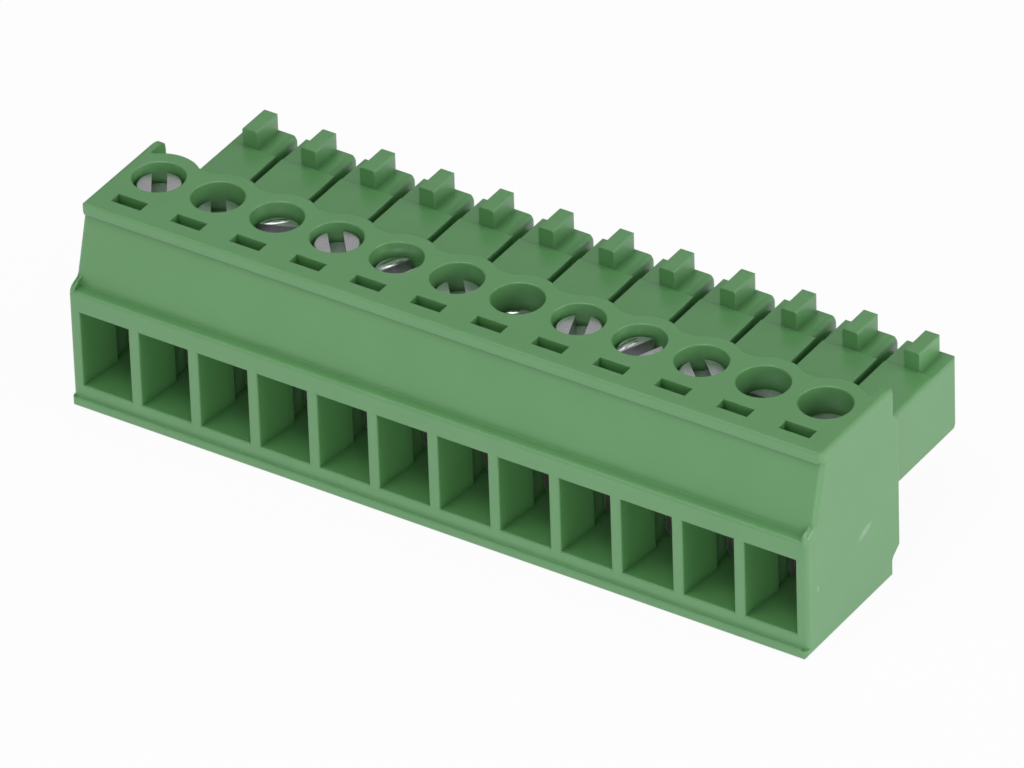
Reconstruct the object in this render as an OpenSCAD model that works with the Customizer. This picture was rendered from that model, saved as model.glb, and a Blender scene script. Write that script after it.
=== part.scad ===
// Pluggable screw terminal block for a row of wires.
// A moulded housing with a wire entry and a screw shaft for each pole, and a plug nose behind it.
// Inside each pole a screw lifts a clamping cage against a contact strip.
// The front of the housing faces -Y, the plug nose points to +Y and the base lies on Z = 0.

/* [Row of poles] */
// Number of poles in the row
poles = 12; // [2:1:19]
// Distance from one pole to the next
pitch = 3.5; // [3.4:0.05:3.9]
// Distance from the last pole to the end of the housing
end_margin = 2.08; // [1.9:0.02:2.3]
// Thickness of the wall between two poles
partition = 0.6; // [0.5:0.05:0.7]

/* [Front of the housing] */
// Height of the screw platform above the base
body_h = 11.1; // [11:0.05:11.8]
// Height of the shelf above the upright band around the wire entries
band_top = 6.79; // [6.5:0.01:7]
// Distance from the band back to the foot of the leaning panel
shelf_depth = 0.67; // [0.4:0.01:0.9]
// Thickness of the rim that bridges the shelf at each end
rim_t = 0.36; // [0.33:0.01:0.5]
// Height of the rim above the shelf, at the band
rim_h = 0.16; // [0.1:0.01:0.25]
// Height of the rim above the shelf, at the panel
rim_rise = 0.46; // [0.3:0.01:0.6]
// Set-back of the soft front corner of the rim
rim_soft = 0.45; // [0.3:0.01:0.5]
// Set-back of the hollow where an end rim meets the panel
rim_bend = 0.16; // [0.1:0.01:0.25]
// Distance from the band back to the top of the leaning panel
panel_depth = 1.72; // [1.4:0.02:1.9]
// Height of the lip along the front edge of the platform
lip_h = 0.67; // [0.4:0.01:0.8]
// Overhang of the lip in front of the panel
lip_out = 0.22; // [0.1:0.01:0.26]
// Height of the foot moulding along the base
foot_h = 0.56; // [0.4:0.02:0.7]
// Projection of the foot moulding in front of the band
foot_out = 0.2; // [0.1:0.01:0.25]
// Set-back of the soft edges along the lip and the heel
edge = 0.12; // [0.08:0.01:0.15]
// Set-back of the soft edge where the band meets the shelf
bead = 0.22; // [0.1:0.01:0.3]
// Set-back of the hollow between the shelf and the panel
cove = 0.02; // [0.02:0.01:0.15]
// Radius of the edges around the end faces
end_r = 0.28; // [0.15:0.01:0.3]

/* [Rear of the housing] */
// Distance from the band back to the rear wall of the platform
platform_depth = 6.95; // [6.9:0.05:7.2]
// Radius of the bosses around the screw shafts
boss_r = 2.09; // [1.9:0.01:2.3]
// Distance from the band back to the rear wall under the nose
block_depth = 8.7; // [8.6:0.05:9]
// Height of the bevelled heel under the rear wall
heel_h = 1.48; // [1.2:0.02:1.8]
// Set-back of the heel in front of the rear wall
heel_depth = 0.68; // [0.4:0.02:0.9]
// Rise of the sloped part of the heel
heel_rise = 0.5; // [0.3:0.05:0.7]
// Thickness of the cheek that stands beside the nose at each end
cheek_t = 0.84; // [0.6:0.02:0.9]
// Thickness of the ear on each cheek
ear_t = 0.5; // [0.4:0.02:0.7]
// Distance from the band back to the rear of the ear
ear_depth = 8.25; // [8:0.05:8.4]
// Set-back of the ear's soft upper corner
ear_soft = 0.5; // [0.3:0.05:0.6]
// Height at which the ear runs out into the cheek
ear_foot = 8.95; // [8.7:0.05:9.3]

/* [Plug nose] */
// Distance from the band back to the rear face of the nose
nose_depth = 15.45; // [15:0.05:16]
// Height of the underside of the nose
nose_bottom = 4.13; // [3.9:0.01:4.2]
// Height of the top of the nose
nose_top = 8.24; // [8.15:0.01:8.5]
// Bevel along the lower rear edge of the nose
nose_bevel = 0.4; // [0.2:0.05:0.6]
// Bevel along the upper rear edge of the nose
crown_bevel = 0.14; // [0.08:0.02:0.2]
// Radius of the long upper edges at the ends of the nose
nose_edge_r = 0.25; // [0.15:0.05:0.35]
// Width of the slots between the fingers of the nose
slot_w = 0.4; // [0.3:0.02:0.5]
// Depth of the slots between the fingers
slot_depth = 1.1; // [0.8:0.05:1.3]
// Radius of the upright rear corners at the ends of the nose
nose_corner_r = 0.35; // [0.2:0.05:0.45]
// Length of the relieved rear part of each finger
relief_l = 2.2; // [2:0.05:2.5]
// Step down to the top of the relieved part
relief_step = 0.06; // [0.04:0.01:0.1]
// Set-back of that shoulder from the slot
shoulder_set = 0.2; // [0.1:0.02:0.3]
// Radius of the relieved part's shoulder beside the slot
shoulder_r = 0.42; // [0.3:0.02:0.5]
// Width of the coding rib on each finger
rib_w = 0.85; // [0.6:0.05:1]
// Height of the coding rib above the nose
rib_h = 1.08; // [0.9:0.02:1.3]
// Set-back of the rib's soft upper edges
rib_soft = 0.14; // [0.08:0.01:0.25]
// Radius of the rib's upright rear edges
rib_r = 0.34; // [0.2:0.02:0.38]
// Radius of the rib's upper rear edge
rib_crown = 0.38; // [0.2:0.02:0.4]
// Distance from the rear end of the rib to the rear face of the nose
rib_inset = 0.05; // [0.03:0.01:0.2]
// Width and height of the inner end of a pin mouth
mouth = 1.2; // [1:0.05:1.4]
// Thickness of the rear wall around the pin mouths
mouth_wall = 0.7; // [0.5:0.05:0.8]
// Widening of the pin mouth on each side towards the outside
mouth_flare = 0.3; // [0.2:0.05:0.4]

/* [Openings in the housing] */
// Height of the floor of the wire entries
entry_bottom = 1.26; // [1.1:0.02:1.4]
// Height of the top of the wire entries
entry_top = 5.6; // [5.4:0.05:5.9]
// Narrowing of a wire entry on each side
entry_taper = 0.26; // [0.1:0.02:0.3]
// Set-back of the soft edges around the mouth of a wire entry
entry_soft = 0.12; // [0.08:0.01:0.2]
// Distance from the band back to the inner end of the wire entry
entry_depth = 2.7; // [2.4:0.05:3]
// Distance from the band back to the screw axis
screw_depth = 5.33; // [5.2:0.01:5.4]
// Radius of the screw shaft
shaft_r = 1.35; // [1.3:0.01:1.45]
// Width of the bevel around the top of a screw shaft
shaft_bevel = 0.04; // [0.03:0.01:0.12]
// Length of a test pocket along the row
pocket_w = 1.75; // [1.4:0.05:2]
// Width of a test pocket across the row
pocket_l = 0.72; // [0.5:0.02:0.9]
// Distance from the band back to a test pocket
pocket_y = 2.39; // [2.2:0.01:2.5]
// Depth of a test pocket
pocket_depth = 1.3; // [0.8:0.05:1.5]

/* [Clamping cage] */
// Length of the cage along the wire
cage_l = 3; // [2.6:0.05:3.1]
// Thickness of the cage's side walls
cage_wall = 0.35; // [0.3:0.01:0.4]
// Thickness of the cage's floor
cage_floor = 0.5; // [0.4:0.02:0.6]
// Thickness of the tapped plate at the top of the cage
cage_top = 0.85; // [0.7:0.05:0.95]
// Radius of the cage's outer folds
fold_r = 0.5; // [0.45:0.01:0.55]
// Height left for the wire below the contact strip
wire_room = 1.87; // [1.7:0.01:1.95]
// Height left above the contact strip in the open cage
strip_room = 0.53; // [0.4:0.01:0.6]
// Clearance between the cage and the walls of its chamber
cage_gap = 0.12; // [0.08:0.01:0.16]
// Clearance between the resting cage and the floor of its chamber
rest_gap = 0.02; // [0.01:0.01:0.05]
// Clearance left when the cage has risen as far as it goes
rise_gap = 0.07; // [0.05:0.01:0.12]

/* [Clamp screw] */
// Radius of the screw's shank
shank_r = 0.95; // [0.85:0.01:1]
// Clearance around the shank in the tapped plate
thread_gap = 0.05; // [0.02:0.01:0.08]
// Clearance around the screw's head in its shaft
head_gap = 0.18; // [0.1:0.01:0.25]
// Height of the screw's head
head_h = 1.3; // [1:0.05:1.4]
// Bevel around the top of the head
head_bevel = 0.08; // [0.04:0.01:0.12]
// Width of the driver slot
drive_w = 0.78; // [0.6:0.02:0.9]
// Depth of the driver slot
drive_depth = 0.72; // [0.5:0.02:0.9]
// Length of the screw's bevelled tip
tip_l = 0.35; // [0.2:0.05:0.5]
// Clearance between the deepest screw and the contact strip
tip_gap = 0.05; // [0.03:0.01:0.1]

/* [Contact strip] */
// Thickness of the contact strip
strip_t = 0.45; // [0.4:0.01:0.5]
// Clearance between the strip and the inside of the cage
strip_gap = 0.13; // [0.08:0.01:0.16]
// Clearance between the contact and its passage in the housing
contact_gap = 0.05; // [0.03:0.01:0.1]
// Inner radius of the bends in the strip
bend_r = 0.3; // [0.2:0.02:0.35]
// Distance from the wire entry to the front end of the strip
strip_front = 0.6; // [0.4:0.05:0.9]
// Thickness of the spring arms
arm_t = 0.3; // [0.25:0.01:0.35]
// Height of the spring arms
arm_h = 2; // [1.7:0.05:2.1]
// Gap between the spring arms at the grip
grip = 0.6; // [0.5:0.02:0.7]
// Gap between the spring arms at their flared ends
flare = 1; // [0.9:0.05:1.1]
// Length of the straight root of the spring arms
root_l = 1.4; // [1:0.05:1.8]
// Distance from the grip to the flared ends
grip_l = 0.9; // [0.7:0.05:1.2]

/* [Hidden] */
// Height of each screw's head below the platform, and the plan angle of its driver slot
SCREW_SET = [
    [0.45, 123], [0.92, 124], [0.78, 21], [0.38, 129], [0.74, 67], [0.87, 129],
    [1.43, 34], [0.5, 110], [0.58, 67], [0.7, 136], [1.22, 1], [1.4, 33]
];
$fn = 48;
// Overshoot of a cut past the face that it opens
cut = 0.2;
// Overlap of the cuts that round the end faces
lap = 0.05;
// Number of flats in a softened corner
soft_steps = 3;
body_w = (poles - 1) * pitch + 2 * end_margin;
nose_w = body_w - 2 * cheek_t;
// The origin lies under the middle of the whole depth
mid_depth = (nose_depth - foot_out) / 2;

// Chamber of one pole
chamber_w = pitch - partition;
chamber_back = screw_depth + cage_l / 2 + cage_gap;

// Cage in its open position
cage_w = chamber_w - 2 * cage_gap;
cage_in_w = cage_w - 2 * cage_wall;
cage_z = entry_bottom + rest_gap;
cage_in_h = wire_room + strip_t + strip_room;
cage_h = cage_floor + cage_in_h + cage_top;
cage_rise = wire_room - rise_gap;
chamber_top = cage_z + cage_h + cage_rise + rise_gap + cage_gap;

// Contact strip through the cage, and its receptacle in the nose
strip_w = cage_in_w - 2 * strip_gap;
strip_z = cage_z + cage_floor + wire_room;
pin_z = (nose_bottom + nose_top) / 2;
root_z = pin_z - arm_h / 2;
riser_y = chamber_back;
root_y = riser_y + strip_t + bend_r;
arm_end = nose_depth - mouth_wall - contact_gap;

// Screw, sized so that the deepest one stops just above the strip
head_r = shaft_r - head_gap;
deepest = max([for (s = SCREW_SET) s[0]]);
shank_l = body_h - deepest - head_h - strip_z - strip_t - tip_gap;

// Corners of the side outlines, each as depth, height and set-back
lip_y = panel_depth - lip_out;
panel_top = body_h - lip_h;
heel_y = block_depth - heel_depth;
foot_corners = [
    [-foot_out, 0, foot_out],
    [-foot_out, foot_h, foot_out * 0.6],
    [0, foot_h, foot_out * 0.3]
];
shelf_corners = [
    [0, band_top, bead],
    [shelf_depth, band_top, cove]
];
rim_y = shelf_depth + (panel_depth - shelf_depth) * rim_rise / (panel_top - band_top);
rim_corners = [
    [0, band_top + rim_h, rim_soft],
    [rim_y, band_top + rim_rise, rim_bend]
];
lip_corners = [
    [panel_depth, panel_top, lip_out * 0.25],
    [lip_y, panel_top, lip_out * 0.25],
    [lip_y, body_h, edge * 1.5]
];
step_corners = [
    [platform_depth, body_h, 0],
    [platform_depth, nose_top, 0],
    [block_depth, nose_top, 0]
];
ear_corners = [
    [ear_depth, body_h, ear_soft],
    [ear_depth, ear_foot + block_depth - ear_depth, edge],
    [block_depth, ear_foot, 0]
];
heel_corners = [
    [block_depth, heel_h, 0],
    [heel_y, heel_h - heel_rise, edge],
    [heel_y, 0, edge]
];

// Place of a pole along the row
function pole_x(i) = (i - (poles + 1) / 2) * pitch;
function screw_set(i) = SCREW_SET[(i - 1) % len(SCREW_SET)];

// Point at a distance from one point towards another
function towards(p, q, d) = p + d * (q - p) / norm(q - p);

// Short curve from one point to another, drawn towards the corner between them
function bend(a, corner, b) = [
    for (k = [0:soft_steps])
        let (s = k / soft_steps)
        (1 - s) * (1 - s) * a + 2 * s * (1 - s) * corner + s * s * b
];

// Outline through the given corners, each softened over its set-back
function softened(corners) =
    let (
        n = len(corners),
        p = [for (c = corners) [c[0], c[1]]]
    )
    [
        for (k = [0:n - 1])
            let (d = corners[k][2])
            each d > 0
                ? bend(towards(p[k], p[(k + n - 1) % n], d), p[k], towards(p[k], p[(k + 1) % n], d))
                : [p[k]]
    ];

// The same corners without their set-backs
function sharp(corners) = [for (c = corners) [c[0], c[1], 0]];

// Half of an outline together with its mirror image
function both_halves(half) = concat(half, [for (k = [len(half) - 1:-1:0]) [-half[k][0], half[k][1]]]);

// Stands an outline drawn in depth and height upright and extrudes it along the row
module along_row(w) {
    rotate([90, 0, 90])
        linear_extrude(w, center = true)
            children();
}

// Extrudes an outline drawn in width and height along the wire
module along_wire(l) {
    rotate([90, 0, 0])
        linear_extrude(l, center = true)
            children();
}

// Block centred on the pole, given by its near and far depth and its lower and upper height
module pole_block(w, y0, y1, z0, z1) {
    translate([-w / 2, y0, z0])
        cube([w, y1 - y0, z1 - z0]);
}

// Square corner less a quarter circle, used to round an edge
module edge_cut(r) {
    difference() {
        translate([-r, -r])
            square(r + cut);
        translate([-r, -r])
            circle(r);
    }
}

// Rectangle with round corners, centred on the width and standing on the base line
module round_rect(w, h, r) {
    translate([-w / 2 + r, 0])
        square([w - 2 * r, h]);
    translate([-w / 2, r])
        square([w, h - 2 * r]);
    for (x = [-w / 2 + r, w / 2 - r])
        for (y = [r, h - r])
            translate([x, y])
                circle(r);
}

// Ring section of a quarter turn between two radii, in the quadrant given by two signs
module quarter_bend(r, t, sx, sy) {
    intersection() {
        difference() {
            circle(r + t);
            circle(r);
        }
        translate([sx > 0 ? 0 : -r - t, sy > 0 ? 0 : -r - t])
            square(r + t);
    }
}

// Side outline of the housing without its nose and ears, given the corners above the band
module block_outline(corners) {
    polygon(softened(concat(foot_corners, corners, lip_corners, step_corners, heel_corners)));
}

// Side outline of an end cheek's ear
module ear_outline() {
    inner_corners = [[block_depth, pin_z, 0], [screw_depth, pin_z, 0], [screw_depth, body_h, 0]];
    polygon(softened(concat(ear_corners, inner_corners)));
}

// Rounds the edges of the end face at +X, one straight piece of its outline after the other.
// The short steps of the foot and the lip stay square.
module end_rounding() {
    front = concat(sharp(foot_corners), rim_corners, sharp(lip_corners));
    outline = softened(concat(front, ear_corners, heel_corners));
    n = len(outline);
    for (k = [0:n - 1]) {
        start = outline[k];
        run = outline[(k + 1) % n] - start;
        l = norm(run);
        if (start != [-foot_out, foot_h] && start != [panel_depth, panel_top])
            translate([body_w / 2, start.x, start.y])
                rotate([atan2(run.y, run.x), 0, 0])
                    translate([0, l / 2, 0])
                        along_wire(l + 2 * lap)
                            edge_cut(end_r);
    }
}

// Side outline of the plug nose
module nose_outline() {
    polygon([
        [screw_depth, nose_bottom],
        [nose_depth - nose_bevel, nose_bottom],
        [nose_depth, nose_bottom + nose_bevel],
        [nose_depth, nose_top - crown_bevel],
        [nose_depth - crown_bevel, nose_top],
        [screw_depth, nose_top]
    ]);
}

// Coding rib that rounds off at the rear, standing in the top of the nose
module coding_rib() {
    front_y = nose_depth - relief_l;
    rear_y = nose_depth - rib_inset;
    rib_foot = nose_top - slot_depth / 2;
    h = nose_top + rib_h - rib_foot;
    half = concat(
        [[rib_w / 2, 0]],
        bend([rib_w / 2, h - rib_soft], [rib_w / 2, h], [rib_w / 2 - rib_soft, h])
    );
    difference() {
        translate([0, (front_y + rear_y) / 2, rib_foot])
            along_wire(rear_y - front_y)
                polygon(both_halves(half));
        for (side = [0, 1])
            mirror([side, 0, 0])
                translate([rib_w / 2, rear_y, -cut])
                    linear_extrude(nose_top + rib_h + 2 * cut)
                        edge_cut(rib_r);
        translate([0, rear_y, rib_foot + h])
            along_row(rib_w + cut)
                edge_cut(rib_crown);
    }
}

// Outer form of the housing, with its fingers already cut
module housing_form() {
    difference() {
        union() {
            along_row(body_w - 2 * rim_t)
                block_outline(shelf_corners);
            along_row(nose_w)
                nose_outline();
            for (side = [-1, 1]) {
                translate([side * (body_w - ear_t) / 2, 0, 0])
                    along_row(ear_t)
                        ear_outline();
                translate([side * (body_w - rim_t) / 2, 0, 0])
                    along_row(rim_t)
                        block_outline(rim_corners);
            }
            bosses();
        }
        finger_cuts();
        for (side = [0, 1])
            mirror([side, 0, 0])
                end_rounding();
    }
    for (i = [1:poles])
        translate([pole_x(i), 0, 0])
            coding_rib();
}

// Rear halves of the bosses around the screw shafts, within the ends of the row
module bosses() {
    boss_h = body_h - pin_z;
    intersection() {
        for (i = [1:poles])
            translate([pole_x(i), screw_depth, pin_z])
                cylinder(r = boss_r, h = boss_h);
        translate([-body_w / 2, screw_depth, pin_z])
            cube([body_w, boss_r + cut, boss_h]);
    }
}

// Slots between the fingers, and the relieved rear part of each finger
module finger_cuts() {
    slot_z = nose_top - slot_depth;
    relief_y = nose_depth - relief_l;
    relief_mid = relief_y + (relief_l + cut) / 2;
    relief_top = nose_top - relief_step;
    translate([-body_w / 2, relief_y, relief_top])
        cube([body_w, relief_l + cut, relief_step + cut]);
    for (i = [1:poles - 1])
        translate([pole_x(i) + pitch / 2, 0, 0]) {
            slot_length = nose_depth + cut - block_depth;
            translate([-slot_w / 2, block_depth, slot_z])
                cube([slot_w, slot_length, slot_depth + cut]);
            translate([-slot_w / 2 - shoulder_set, relief_y, slot_z])
                cube([slot_w + shoulder_set, relief_l + cut, slot_depth + cut]);
            translate([-slot_w / 2 - shoulder_set, relief_mid, relief_top])
                along_wire(relief_l + cut)
                    edge_cut(shoulder_r);
        }
    nose_mid = (ear_depth + nose_depth + cut) / 2;
    for (side = [0, 1])
        mirror([side, 0, 0]) {
            translate([nose_w / 2, nose_mid, nose_top])
                along_wire(nose_depth + cut - ear_depth)
                    edge_cut(nose_edge_r);
            translate([nose_w / 2, nose_depth, nose_bottom - cut])
                linear_extrude(nose_top - nose_bottom + 2 * cut)
                    edge_cut(nose_corner_r);
        }
}

// Everything that is hollow in one pole
module pole_cuts() {
    wire_entry();
    // Chamber of the cage
    pole_block(chamber_w, entry_depth, chamber_back, entry_bottom, chamber_top);
    // Screw shaft
    translate([0, screw_depth, chamber_top - cut])
        cylinder(r = shaft_r, h = body_h - chamber_top + 2 * cut);
    translate([0, screw_depth, body_h - shaft_bevel])
        cylinder(r1 = shaft_r, r2 = shaft_r + shaft_bevel + cut, h = shaft_bevel + cut);
    // Test pocket
    pole_block(pocket_w, pocket_y, pocket_y + pocket_l, body_h - pocket_depth, body_h + cut);
    // Passage of the contact from the chamber into the nose
    passage_w = strip_w + 2 * contact_gap;
    passage_top = root_z + arm_h + contact_gap;
    pole_block(passage_w, chamber_back - cut, root_y, strip_z - contact_gap, passage_top);
    pole_block(passage_w, chamber_back - cut, nose_depth - mouth_wall, root_z - contact_gap, passage_top);
    pin_mouth();
}

// Half of a wire entry's section, from its soft mouth to its inner end
function entry_half(outer, inner) = concat(
    [[outer + entry_soft, -foot_out - cut]],
    bend([outer + entry_soft, 0], [outer, 0], towards([outer, 0], [inner, entry_depth], entry_soft)),
    [[inner, entry_depth], [inner, entry_depth + cut]]
);

// Wire entry, narrowing towards the cage
module wire_entry() {
    half_w = chamber_w / 2;
    half_h = (entry_top - entry_bottom) / 2;
    upright = both_halves(entry_half(half_h, half_h));
    translate([0, 0, entry_bottom + half_h])
        intersection() {
            linear_extrude(2 * (half_h + entry_soft + cut), center = true)
                polygon(both_halves(entry_half(half_w, half_w - entry_taper)));
            along_row(2 * (half_w + entry_soft + cut))
                polygon([for (p = upright) [p[1], p[0]]]);
        }
}

// Mouth for a pin in the rear face of the nose, flared on all four sides
module pin_mouth() {
    inner = nose_depth - mouth_wall;
    half = mouth / 2;
    section = both_halves([
        [half, inner - cut],
        [half, nose_depth - mouth_flare],
        [half + mouth_flare, nose_depth],
        [half + mouth_flare, nose_depth + cut]
    ]);
    translate([0, 0, pin_z])
        intersection() {
            linear_extrude(2 * mouth, center = true)
                polygon(section);
            along_row(2 * mouth)
                polygon([for (p = section) [p[1], p[0]]]);
        }
}

// Moulded housing
module housing() {
    color("mediumseagreen")
        translate([0, -mid_depth, 0])
            difference() {
                housing_form();
                for (i = [1:poles])
                    translate([pole_x(i), 0, 0])
                        pole_cuts();
            }
}

// Slotted clamp screw, turned from one profile
module screw(i) {
    set = screw_set(i);
    color("silver")
        translate([pole_x(i), screw_depth - mid_depth, body_h - set[0] - head_h - shank_l])
            difference() {
                rotate_extrude()
                    polygon([
                        [0, 0],
                        [shank_r - tip_l, 0],
                        [shank_r, tip_l],
                        [shank_r, shank_l],
                        [head_r, shank_l],
                        [head_r, shank_l + head_h - head_bevel],
                        [head_r - head_bevel, shank_l + head_h],
                        [0, shank_l + head_h]
                    ]);
                rotate(set[1])
                    translate([-2 * head_r, -drive_w / 2, shank_l + head_h - drive_depth])
                        cube([4 * head_r, drive_w, drive_depth + cut]);
            }
}

// Clamping cage, a strip folded into a box with a tapped top
module cage(i) {
    color("lightgray")
        translate([pole_x(i), screw_depth - mid_depth, cage_z])
            difference() {
                along_wire(cage_l)
                    difference() {
                        round_rect(cage_w, cage_h, fold_r);
                        translate([0, cage_floor])
                            round_rect(cage_in_w, cage_in_h, fold_r - cage_wall);
                    }
                translate([0, 0, cage_floor + cage_in_h - cut])
                    cylinder(r = shank_r + thread_gap, h = cage_top + 2 * cut);
            }
}

// Side outline of the contact's strip, from the clamp up to its receptacle
module strip_outline() {
    bar_y = entry_depth + strip_front;
    lower_y = riser_y - bend_r;
    lower_z = strip_z + strip_t + bend_r;
    upper_z = root_z - bend_r;
    translate([bar_y, strip_z])
        square([lower_y - bar_y, strip_t]);
    translate([lower_y, lower_z])
        quarter_bend(bend_r, strip_t, 1, -1);
    translate([riser_y, lower_z])
        square([strip_t, upper_z - lower_z]);
    translate([root_y, upper_z])
        quarter_bend(bend_r, strip_t, -1, 1);
    translate([root_y, root_z])
        square([root_l, strip_t]);
}

// Plan outline of one spring arm
module arm_outline() {
    root_x = strip_w / 2 - arm_t;
    bow = [
        [root_x, root_y],
        [root_x, root_y + root_l],
        [grip / 2, arm_end - grip_l],
        [flare / 2, arm_end]
    ];
    polygon(concat(bow, [for (k = [len(bow) - 1:-1:0]) bow[k] + [arm_t, 0]]));
}

// Contact, a bent strip with a pair of spring arms for the pin
module contact(i) {
    color("gainsboro")
        translate([pole_x(i), -mid_depth, 0]) {
            along_row(strip_w)
                strip_outline();
            for (side = [0, 1])
                mirror([side, 0, 0])
                    translate([0, 0, root_z])
                        linear_extrude(arm_h)
                            arm_outline();
        }
}

housing();
for (i = [1:poles]) {
    screw(i);
    cage(i);
    contact(i);
}
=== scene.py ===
"""Studio scene of a pluggable screw terminal block: finishes, screw threads, light and camera."""
import math

import bmesh
import bpy
from mathutils import Matrix, Vector


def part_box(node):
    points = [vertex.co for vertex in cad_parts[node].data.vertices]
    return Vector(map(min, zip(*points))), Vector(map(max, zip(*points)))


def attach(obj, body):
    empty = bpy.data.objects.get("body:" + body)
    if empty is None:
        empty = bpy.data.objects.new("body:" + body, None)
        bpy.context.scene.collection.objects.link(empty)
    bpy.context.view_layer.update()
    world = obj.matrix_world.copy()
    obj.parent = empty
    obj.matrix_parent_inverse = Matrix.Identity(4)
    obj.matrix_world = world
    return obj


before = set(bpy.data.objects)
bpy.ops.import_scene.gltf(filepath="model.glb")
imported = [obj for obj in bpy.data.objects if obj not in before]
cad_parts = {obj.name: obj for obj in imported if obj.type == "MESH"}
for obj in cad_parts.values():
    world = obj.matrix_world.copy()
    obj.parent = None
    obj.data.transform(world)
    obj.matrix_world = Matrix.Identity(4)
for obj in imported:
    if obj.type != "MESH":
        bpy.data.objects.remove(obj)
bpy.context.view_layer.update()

MM = 0.001
POLES = sum(1 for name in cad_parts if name.startswith("screw_"))
HOUSING_LOW, HOUSING_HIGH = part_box("housing")

# Sizes of the solids in millimetres, where a finish or a thread follows them
NOSE_DEPTH = 15.45
SHANK_R = 0.95
HEAD_H = 1.3
TIP_L = 0.35

# Thread of the clamp screws, in millimetres
LEAD = 0.4
THREAD_H = 0.02
THREAD_ROOT_W = 0.3
THREAD_CREST_W = 0.06
STEPS_PER_TURN = 32

# Depth of the upright front band, from which the camera is measured
BAND_Y = HOUSING_HIGH.y - NOSE_DEPTH * MM

# Camera of the photograph: place from the middle of the band's foot, angles in degrees
CAMERA_PLACE = Vector((274.199, -403.176, 347.500)) * MM
CAMERA_AZIMUTH = 33.7504
CAMERA_ELEVATION = 34.8143
CAMERA_ROLL = -1.9912
FOCAL_PIXELS = 12274.9
IMAGE_WIDTH = 1024
SENSOR_WIDTH = 36.0

# Softboxes: name, azimuth and elevation in degrees, side in metres, watts.
# Azimuth 0 is in front, 90 at the right
SOFTBOXES = (
    ("front_high", -20, 60, 0.4, 0.68),
    ("front_low", 30, 10, 0.4, 1.36),
    ("right", 100, 12, 0.4, 1.36),
    ("right_rear", 125, 35, 0.4, 0.40),
    ("left_low", -60, 12, 0.4, 0.43),
    ("left_rear", -146, 35, 0.4, 0.23),
    ("left_rear_glint", -146, 35, 0.03, 0.011),
    ("overhead", 0, 85, 0.4, 0.80),
)
SOFTBOX_DISTANCE = 0.5

# Marks on the right end face, and rubbed marks on four screw heads whose lighter colour partly paints
# their glints: middle and half sizes in millimetres, turn in degrees
SCUFFS = (
    ((21.33, -2.27, 4.25), (0.3, 0.75, 0.26), (17, 0, 0)),
    ((21.33, -6.62, 3.55), (0.3, 0.09, 0.24), (0, 0, 0)),
)
RUBBED_HEADS_AND_GLINTS = (
    ((-12.7, -1.70, 10.3), (0.7, 0.2, 4.0), (0, 0, 42)),
    ((-5.78, -1.87, 10.3), (0.9, 0.3, 4.0), (0, 0, 65)),
    ((1.00, -1.62, 10.3), (0.4, 0.2, 4.0), (0, 0, 30)),
    ((8.02, -2.23, 10.3), (0.75, 0.22, 4.0), (0, 0, 75)),
)
RUBBED_ROUGHNESS = 0.14

# Reliefs that only the light shows, in millimetres: burr of a rubbed mark, grain of the plastic
# and of the metals, rounding of the plastic's edges
BURR_H = 0.08
PLASTIC_GRAIN_H = 0.01
METAL_GRAIN_H = 0.004
EDGE_SOFTNESS = 0.07

# Colours of the plastic: plain, in clouds, painted shade in inner corners, painted highlight on outer
# edges, in scuffs, and of its sheen
GREEN = (0.101, 0.302, 0.092, 1)
GREEN_CLOUD = (0.109, 0.316, 0.100, 1)
GREEN_PAINTED_CORNER_SHADE = (0.066, 0.215, 0.062, 1)
GREEN_PAINTED_EDGE_HIGHLIGHT = (0.16, 0.38, 0.16, 1)
GREEN_SCUFF = (0.26, 0.43, 0.27, 1)
GREEN_SHEEN = (0.9, 0.87, 1.0, 1)

# Metals: colour, colour in clouds, and roughness
SCREW_FINISH = ((0.60, 0.59, 0.62, 1), (0.68, 0.67, 0.70, 1), 0.30)
# The cage's colour is darkened as painted shade, standing in for the shade deep inside the windows.
CAGE_FINISH_DARKENED_AS_SHADE = ((0.25, 0.24, 0.23, 1), (0.31, 0.30, 0.28, 1), 0.48)
CONTACT_FINISH = ((0.70, 0.69, 0.67, 1), (0.77, 0.76, 0.74, 1), 0.38)
# Painted highlight on the metals' outer edges
METAL_PAINTED_EDGE_HIGHLIGHT = (0.82, 0.81, 0.80, 1)
# Lighter colour of the rubbed marks on the screw heads, which partly paints their glints
BRIGHT_RUB_AND_GLINT = (0.92, 0.92, 0.92, 1)

# Masks of the painted shade in inner corners and the painted highlight on outer edges: number of rays,
# reach in millimetres, strength
MASK_RAYS = 6
CORNER_SHADE_REACH = 0.55
CORNER_SHADE_STRENGTH = 0.8
PLASTIC_EDGE_HIGHLIGHT_REACH = 0.12
PLASTIC_EDGE_HIGHLIGHT_STRENGTH = 0.3
METAL_EDGE_HIGHLIGHT_REACH = 0.06

# Floor: half its side and its gap below the part in metres, its colour,
# and the share of it that is seen as white
FLOOR_HALF = 1.2
FLOOR_GAP = 0.00001
FLOOR_COLOUR = (0.9, 0.9, 0.9, 1)
FLOOR_GLOW = 0.94


def add_node(tree, kind, inputs=None, **settings):
    """Adds a shader node, sets its properties, and sets or links its inputs."""
    made = tree.nodes.new(kind)
    for name, value in settings.items():
        setattr(made, name, value)
    for name, value in (inputs or {}).items():
        if isinstance(value, bpy.types.NodeSocket):
            tree.links.new(value, made.inputs[name])
        else:
            made.inputs[name].default_value = value
    return made


def new_material(name):
    """A new material, its node tree and its Principled shader."""
    made = bpy.data.materials.new(name)
    made.use_nodes = True
    tree = made.node_tree
    return made, tree, tree.nodes["Principled BSDF"]


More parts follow.
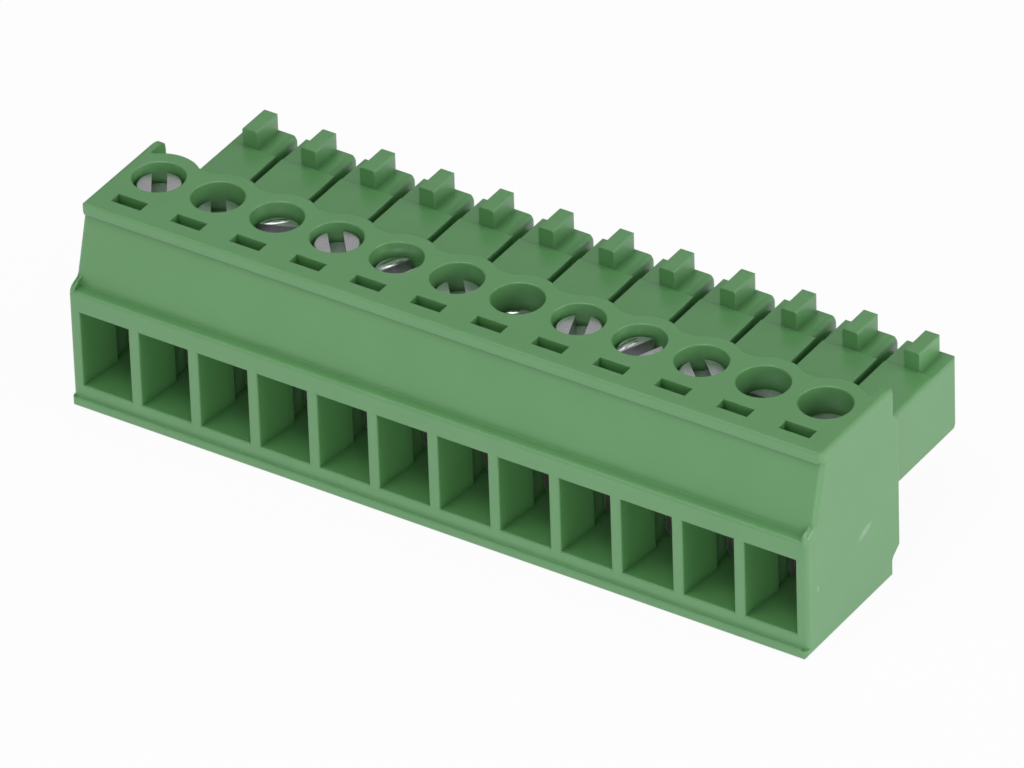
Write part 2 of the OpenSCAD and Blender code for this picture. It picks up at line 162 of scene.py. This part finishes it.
def object_mm(tree):
    """Object coordinates in millimetres."""
    coords = add_node(tree, "ShaderNodeTexCoord")
    scaled = add_node(
        tree, "ShaderNodeVectorMath", {0: coords.outputs["Object"], "Scale": 1 / MM}, operation="SCALE"
    )
    return scaled.outputs["Vector"]


def noise(tree, place, scale, detail=2.0):
    """Noise of a given number of cells a millimetre."""
    made = add_node(tree, "ShaderNodeTexNoise", {"Vector": place, "Scale": scale, "Detail": detail})
    return made.outputs["Fac"]


def spread(tree, value, low, high, span=(0.3, 0.7)):
    """Maps a value from a span, by default the usual one of noise, to a range."""
    made = add_node(
        tree,
        "ShaderNodeMapRange",
        {"Value": value, "From Min": span[0], "From Max": span[1], "To Min": low, "To Max": high},
    )
    return made.outputs["Result"]


def times(tree, first, second):
    """Product of two values."""
    return add_node(tree, "ShaderNodeMath", {0: first, 1: second}, operation="MULTIPLY").outputs[0]


def mix_colour(tree, factor, first, second):
    """Mixes two colours."""
    made = add_node(tree, "ShaderNodeMix", {0: factor, 6: first, 7: second}, data_type="RGBA")
    return made.outputs[2]


def painted_edge_highlight(tree, place, reach):
    """Mask of the outer edges for a painted highlight, found from inside the solid and broken up by
    noise.

    The reach is in millimetres.
    """
    depth = add_node(
        tree,
        "ShaderNodeAmbientOcclusion",
        {"Distance": reach * MM},
        samples=MASK_RAYS,
        inside=True,
        only_local=True,
    )
    edge = spread(tree, depth.outputs["AO"], 0.0, 1.0, (0.97, 0.6))
    return times(tree, edge, spread(tree, noise(tree, place, 5.0), 0.2, 1.0))


def painted_corner_shade(tree, reach):
    """Mask of the inner corners, where the colour is darkened as painted shade; reach in millimetres."""
    open_sky = add_node(
        tree, "ShaderNodeAmbientOcclusion", {"Distance": reach * MM}, samples=MASK_RAYS, only_local=True
    )
    return spread(tree, open_sky.outputs["AO"], 0.0, 1.0, (0.9, 0.45))


def marks_mask(tree, place, marks):
    """Mask of small oval marks, each given by its middle, half sizes and turn in degrees."""
    mask = 0.0
    for middle, half_sizes, turn in marks:
        local = add_node(
            tree,
            "ShaderNodeMapping",
            {
                "Vector": place,
                "Location": middle,
                "Rotation": [math.radians(angle) for angle in turn],
                "Scale": half_sizes,
            },
            vector_type="TEXTURE",
        )
        oval = add_node(
            tree, "ShaderNodeTexGradient", {"Vector": local.outputs["Vector"]}, gradient_type="SPHERICAL"
        )
        soft = spread(tree, oval.outputs["Fac"], 0.0, 1.0, (0.0, 0.5))
        mask = add_node(tree, "ShaderNodeMath", {0: mask, 1: soft}, operation="MAXIMUM").outputs[0]
    return mask


def housing_plastic():
    """Satin green polyamide from a spark-eroded mould."""
    made, tree, shader = new_material("housing_plastic")
    place = object_mm(tree)
    cloud = spread(tree, noise(tree, place, 0.35), 0.0, 1.0)
    grain = noise(tree, place, 14.0, 3.0)
    colour = mix_colour(tree, cloud, GREEN, GREEN_CLOUD)
    # Painted shade: the colour is darkened in the inner corners.
    corner_shade = times(tree, painted_corner_shade(tree, CORNER_SHADE_REACH), CORNER_SHADE_STRENGTH)
    colour = mix_colour(tree, corner_shade, colour, GREEN_PAINTED_CORNER_SHADE)
    # Painted highlight: the colour is lightened along the outer edges.
    edge_highlight = times(tree, painted_edge_highlight(tree, place, PLASTIC_EDGE_HIGHLIGHT_REACH), PLASTIC_EDGE_HIGHLIGHT_STRENGTH)
    colour = mix_colour(tree, edge_highlight, colour, GREEN_PAINTED_EDGE_HIGHLIGHT)
    scuffs = times(tree, marks_mask(tree, place, SCUFFS), spread(tree, noise(tree, place, 6.0), 0.5, 1.0))
    colour = mix_colour(tree, scuffs, colour, GREEN_SCUFF)
    tree.links.new(colour, shader.inputs["Base Color"])
    tree.links.new(spread(tree, grain, 0.36, 0.46), shader.inputs["Roughness"])
    soft = add_node(tree, "ShaderNodeBevel", {"Radius": EDGE_SOFTNESS * MM}, samples=4).outputs["Normal"]
    bump = add_node(
        tree,
        "ShaderNodeBump",
        {"Height": grain, "Strength": 0.15, "Distance": PLASTIC_GRAIN_H * MM, "Normal": soft},
    )
    tree.links.new(bump.outputs["Normal"], shader.inputs["Normal"])
    shader.inputs["IOR"].default_value = 1.56
    shader.inputs["Specular IOR Level"].default_value = 1.0
    shader.inputs["Specular Tint"].default_value = GREEN_SHEEN
    return made


def plated_metal(name, colour, tint, roughness, rubbed_glint_marks=()):
    """Plated metal with faint clouds, a fine grain, a painted highlight on its outer edges, and smooth
    rubbed marks whose lighter colour partly paints glints.
    """
    made, tree, shader = new_material(name)
    place = object_mm(tree)
    cloud = spread(tree, noise(tree, place, 1.6), 0.0, 1.0)
    grain = noise(tree, place, 22.0, 3.0)
    tone = mix_colour(tree, cloud, colour, tint)
    # Painted highlight: the colour is lightened along the outer edges.
    tone = mix_colour(tree, painted_edge_highlight(tree, place, METAL_EDGE_HIGHLIGHT_REACH), tone, METAL_PAINTED_EDGE_HIGHLIGHT)
    rough = spread(tree, grain, roughness - 0.05, roughness + 0.06)
    if rubbed_glint_marks:
        shine = marks_mask(tree, place, rubbed_glint_marks)
        # Partly painted highlight: the rubbed marks lighten the colour where the heads show glints.
        tone = mix_colour(tree, shine, tone, BRIGHT_RUB_AND_GLINT)
        rough = add_node(tree, "ShaderNodeMix", {0: shine, 2: rough, 3: RUBBED_ROUGHNESS}).outputs[0]
    tree.links.new(tone, shader.inputs["Base Color"])
    tree.links.new(rough, shader.inputs["Roughness"])
    bump = add_node(
        tree, "ShaderNodeBump", {"Height": grain, "Strength": 0.2, "Distance": METAL_GRAIN_H * MM}
    )
    if rubbed_glint_marks:
        bump = add_node(
            tree,
            "ShaderNodeBump",
            {"Height": shine, "Distance": BURR_H * MM, "Normal": bump.outputs["Normal"]},
        )
    tree.links.new(bump.outputs["Normal"], shader.inputs["Normal"])
    shader.inputs["Metallic"].default_value = 1.0
    return made


MATERIALS = {
    "housing": housing_plastic(),
    "screw": plated_metal("screw_steel", *SCREW_FINISH, RUBBED_HEADS_AND_GLINTS),
    "cage": plated_metal("cage_steel", *CAGE_FINISH_DARKENED_AS_SHADE),
    "contact": plated_metal("contact_strip", *CONTACT_FINISH),
}


def dress_nodes():
    """Gives every solid the material of its kind."""
    for name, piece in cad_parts.items():
        piece.data.materials.clear()
        piece.data.materials.append(MATERIALS[name.split("_")[0]])


def thread_section(share):
    """Radius and height of the four corners of the thread's section, at a share of its full height."""
    root = SHANK_R - THREAD_H / 2
    crest = SHANK_R + THREAD_H * share
    return (
        (root, -THREAD_ROOT_W / 2),
        (crest, -THREAD_CREST_W / 2),
        (crest, THREAD_CREST_W / 2),
        (root, THREAD_ROOT_W / 2),
    )


def add_thread(node):
    """Right-hand thread around a screw's shank, which runs out at both ends."""
    low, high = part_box(node)
    axis = (low + high) / 2
    start = low.z / MM + TIP_L
    length = high.z / MM - HEAD_H - THREAD_ROOT_W - start
    steps = int(length / LEAD * STEPS_PER_TURN)
    mesh = bmesh.new()
    rings = []
    for step in range(steps + 1):
        angle = 2 * math.pi * step / STEPS_PER_TURN
        share = min(1.0, 2 * step / STEPS_PER_TURN, 2 * (steps - step) / STEPS_PER_TURN)
        height = start + LEAD * step / STEPS_PER_TURN
        ring = []
        for radius, rise in thread_section(share):
            x = axis.x + radius * math.cos(angle) * MM
            y = axis.y + radius * math.sin(angle) * MM
            ring.append(mesh.verts.new((x, y, (height + rise) * MM)))
        rings.append(ring)
    for ring, after in zip(rings, rings[1:]):
        for k in range(4):
            mesh.faces.new((ring[k], ring[k - 1], after[k - 1], after[k]))
    mesh.faces.new(rings[0])
    mesh.faces.new(reversed(rings[-1]))
    bmesh.ops.recalc_face_normals(mesh, faces=mesh.faces)
    data = bpy.data.meshes.new(node + "_thread")
    mesh.to_mesh(data)
    mesh.free()
    data.materials.append(MATERIALS["screw"])
    thread = bpy.data.objects.new(node + "_thread", data)
    bpy.context.scene.collection.objects.link(thread)
    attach(thread, node)


def add_floor():
    """White floor that the camera and the metal see as white, with a soft shadow."""
    h = FLOOR_HALF
    mesh = bpy.data.meshes.new("floor")
    mesh.from_pydata([(-h, -h, 0), (h, -h, 0), (h, h, 0), (-h, h, 0)], [], [(0, 1, 2, 3)])
    floor = bpy.data.objects.new("floor", mesh)
    floor.location.z = HOUSING_LOW.z - FLOOR_GAP
    bpy.context.scene.collection.objects.link(floor)
    made, tree, shader = new_material("floor_white")
    shader.inputs["Base Color"].default_value = FLOOR_COLOUR
    shader.inputs["Roughness"].default_value = 0.9
    shader.inputs["Specular IOR Level"].default_value = 0.0
    paths = add_node(tree, "ShaderNodeLightPath").outputs
    seen = paths["Is Camera Ray"]
    for ray in ("Is Glossy Ray", "Is Transmission Ray"):
        seen = add_node(tree, "ShaderNodeMath", {0: seen, 1: paths[ray]}, operation="MAXIMUM").outputs[0]
    glow = add_node(tree, "ShaderNodeEmission", {"Color": (1, 1, 1, 1), "Strength": 1.0})
    both = add_node(tree, "ShaderNodeMixShader", {0: times(tree, seen, FLOOR_GLOW)})
    tree.links.new(shader.outputs[0], both.inputs[1])
    tree.links.new(glow.outputs[0], both.inputs[2])
    tree.links.new(both.outputs[0], tree.nodes["Material Output"].inputs["Surface"])
    mesh.materials.append(made)


def direction(azimuth, elevation):
    """Unit vector from the part towards an azimuth, 0 in front and 90 at the right, and an elevation."""
    a, e = math.radians(azimuth), math.radians(elevation)
    return Vector((math.sin(a) * math.cos(e), -math.cos(a) * math.cos(e), math.sin(e)))


def add_softbox(name, azimuth, elevation, side, watts):
    """Square softbox that looks at the middle of the part."""
    lamp = bpy.data.lights.new(name, "AREA")
    lamp.shape = "SQUARE"
    lamp.size = side
    lamp.energy = watts
    light = bpy.data.objects.new(name, lamp)
    out = direction(azimuth, elevation)
    light.location = out * SOFTBOX_DISTANCE
    light.rotation_mode = "QUATERNION"
    light.rotation_quaternion = out.to_track_quat("Z", "Y")
    bpy.context.scene.collection.objects.link(light)


def add_camera():
    """Camera at the photograph's place, angle and lens."""
    roll = math.radians(CAMERA_ROLL)
    back = direction(CAMERA_AZIMUTH, CAMERA_ELEVATION)
    level = Vector((0, 0, 1)).cross(back).normalized()
    above = back.cross(level)
    right = math.cos(roll) * level + math.sin(roll) * above
    up = math.cos(roll) * above - math.sin(roll) * level
    data = bpy.data.cameras.new("camera")
    data.sensor_fit = "HORIZONTAL"
    data.sensor_width = SENSOR_WIDTH
    data.lens = FOCAL_PIXELS * SENSOR_WIDTH / IMAGE_WIDTH
    data.clip_start = 0.01
    data.clip_end = 10
    camera = bpy.data.objects.new("camera", data)
    turn = Matrix((right, up, back)).transposed().to_4x4()
    camera.matrix_world = Matrix.Translation(CAMERA_PLACE + Vector((0, BAND_Y, 0))) @ turn
    bpy.context.scene.collection.objects.link(camera)
    bpy.context.scene.camera = camera


dress_nodes()
for number in range(1, POLES + 1):
    add_thread(f"screw_{number}")
add_floor()
for softbox in SOFTBOXES:
    add_softbox(*softbox)
add_camera()
bpy.context.scene.view_settings.view_transform = "Standard"
